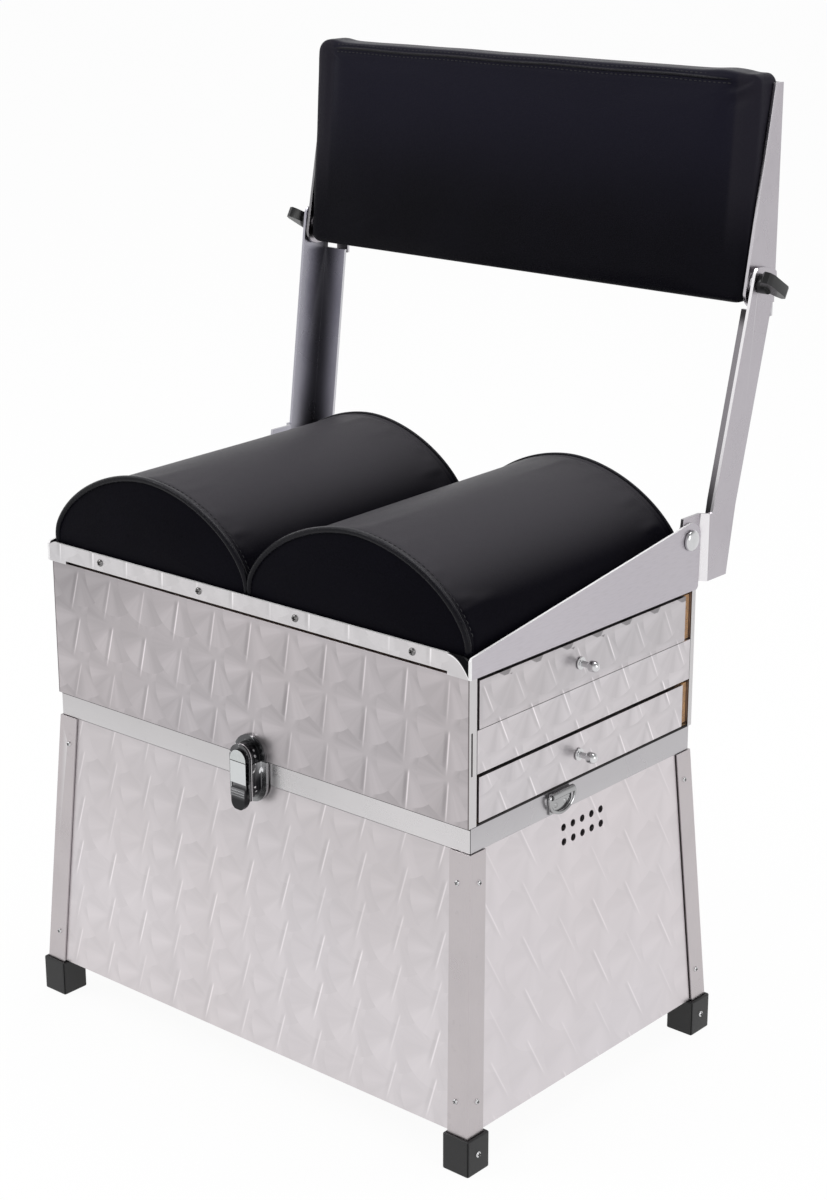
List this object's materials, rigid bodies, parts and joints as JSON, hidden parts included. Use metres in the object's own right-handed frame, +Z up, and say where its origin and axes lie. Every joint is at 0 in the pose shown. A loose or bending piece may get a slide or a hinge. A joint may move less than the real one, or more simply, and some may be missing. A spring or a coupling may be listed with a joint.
{
  "type": "fishing seat box",
  "caption": "Aluminium fishing seat box: splayed tackle case, hinged upper case with side drawers, padded seat and folding backrest.",
  "frame": {"origin": "middle of the bounding box's bottom face, on the floor", "axes": "+Z up, -Y towards the latch and the sitter's legs, +X towards the side that the drawers open to"},
  "size_m": [0.5052, 0.3754, 0.7755],
  "materials": {
    "engine_turned_aluminium": "overlapping polished discs",
    "plain_aluminium": "brushed satin",
    "bright_steel": "polished",
    "dark_steel": "satin",
    "black_vinyl": "soft sheen",
    "black_plastic": "matt",
    "plywood": "bare"
  },
  "bodies": {
    "lower_case": {"floor_board": "plywood", "lower_front_panel": "engine_turned_aluminium", "lower_rear_panel": "engine_turned_aluminium", "lower_left_panel": "engine_turned_aluminium", "lower_right_panel": "engine_turned_aluminium", "rim_front": "plain_aluminium", "rim_rear": "plain_aluminium", "rim_left": "plain_aluminium", "rim_right": "plain_aluminium", "corner_angle_front_left": "plain_aluminium", "foot_front_left": "black_plastic", "corner_angle_front_right": "plain_aluminium", "foot_front_right": "black_plastic", "corner_angle_rear_left": "plain_aluminium", "foot_rear_left": "black_plastic", "corner_angle_rear_right": "plain_aluminium", "foot_rear_right": "black_plastic", "latch_base": "bright_steel", "d_ring_bracket_left": "bright_steel", "d_ring_bracket_right": "bright_steel", "hinge_lower_leaf": "bright_steel", "hinge_pin": "bright_steel"},
    "upper_case": {"upper_front_panel": "engine_turned_aluminium", "upper_rear_panel": "engine_turned_aluminium", "upper_left_panel": "engine_turned_aluminium", "right_mid_rail": "engine_turned_aluminium", "upper_floor_board": "plywood", "drawer_shelf": "plywood", "drawer_guide": "plywood", "upper_top_board": "plywood", "hinge_upper_leaf": "bright_steel", "latch_keeper": "bright_steel", "seat_tray": "plain_aluminium", "seat_bolster_left": "black_vinyl", "seat_bolster_right": "black_vinyl", "pivot_bolt_left": "bright_steel", "pivot_bolt_right": "bright_steel"},
    "lower_drawer": {"lower_drawer_tray": "plywood", "lower_drawer_front": "engine_turned_aluminium", "lower_drawer_knob": "bright_steel"},
    "upper_drawer": {"upper_drawer_tray": "plywood", "upper_drawer_front": "engine_turned_aluminium", "upper_drawer_knob": "bright_steel"},
    "posts": {"post_left": "plain_aluminium", "post_right": "plain_aluminium"},
    "backrest": {"backrest_bracket_left": "plain_aluminium", "backrest_bracket_right": "plain_aluminium", "backrest_board": "plywood", "backrest_pad": "black_vinyl", "clamp_bolt_left": "bright_steel", "clamp_bolt_right": "bright_steel", "clamp_washer_left": "bright_steel", "clamp_washer_right": "bright_steel"},
    "knob_left": {"clamp_knob_left": "black_plastic"},
    "knob_right": {"clamp_knob_right": "black_plastic"},
    "lever": {"latch_lever": "dark_steel"},
    "claw": {"latch_claw": "bright_steel"},
    "ring_left": {"d_ring_left": "bright_steel"},
    "ring_right": {"d_ring_right": "bright_steel"}
  },
  "joints": [
    {"name": "upper_case_hinge", "type": "hinge", "parent": "lower_case", "child": "upper_case", "pos_m": [0, 0.11125, 0.26965], "axis": [-1, 0, 0], "range_deg": [0, 95]},
    {"name": "lower_drawer_slide", "type": "slide", "parent": "upper_case", "child": "lower_drawer", "axis": [1, 0, 0], "range_m": [0, 0.3]},
    {"name": "upper_drawer_slide", "type": "slide", "parent": "upper_case", "child": "upper_drawer", "axis": [1, 0, 0], "range_m": [0, 0.3]},
    {"name": "backrest_fold", "type": "hinge", "parent": "upper_case", "child": "posts", "pos_m": [0, 0.09475, 0.4265], "axis": [1, 0, 0], "range_deg": [0, 80]},
    {"name": "backrest_tilt", "type": "hinge", "parent": "posts", "child": "backrest", "pos_m": [0, 0.15961, 0.619], "axis": [1, 0, 0], "range_deg": [-10, 12]},
    {"name": "clamp_knob_left_turn", "type": "hinge", "parent": "backrest", "child": "knob_left", "pos_m": [-0.245, 0.15961, 0.619], "axis": [-1, 0, 0], "range_deg": [0, 180]},
    {"name": "clamp_knob_right_turn", "type": "hinge", "parent": "backrest", "child": "knob_right", "pos_m": [0.245, 0.15961, 0.619], "axis": [1, 0, 0], "range_deg": [0, 180]},
    {"name": "latch_lever_turn", "type": "hinge", "parent": "lower_case", "child": "lever", "pos_m": [0.003, -0.17715, 0.2665], "axis": [-1, 0, 0], "range_deg": [0, 90]},
    {"name": "latch_claw_turn", "type": "hinge", "parent": "lever", "child": "claw", "pos_m": [0.003, -0.18165, 0.2555], "axis": [-1, 0, 0], "range_deg": [-90, 0]},
    {"name": "d_ring_left_swing", "type": "hinge", "parent": "lower_case", "child": "ring_left", "pos_m": [-0.2231, -0.06325, 0.2662], "axis": [0, 1, 0], "range_deg": [0, 100]},
    {"name": "d_ring_right_swing", "type": "hinge", "parent": "lower_case", "child": "ring_right", "pos_m": [0.2231, -0.06325, 0.2662], "axis": [0, -1, 0], "range_deg": [0, 100]}
  ],
  "couplings": [
    {"joint": "latch_claw_turn", "follows": "latch_lever_turn", "ratio": -1}
  ]
}
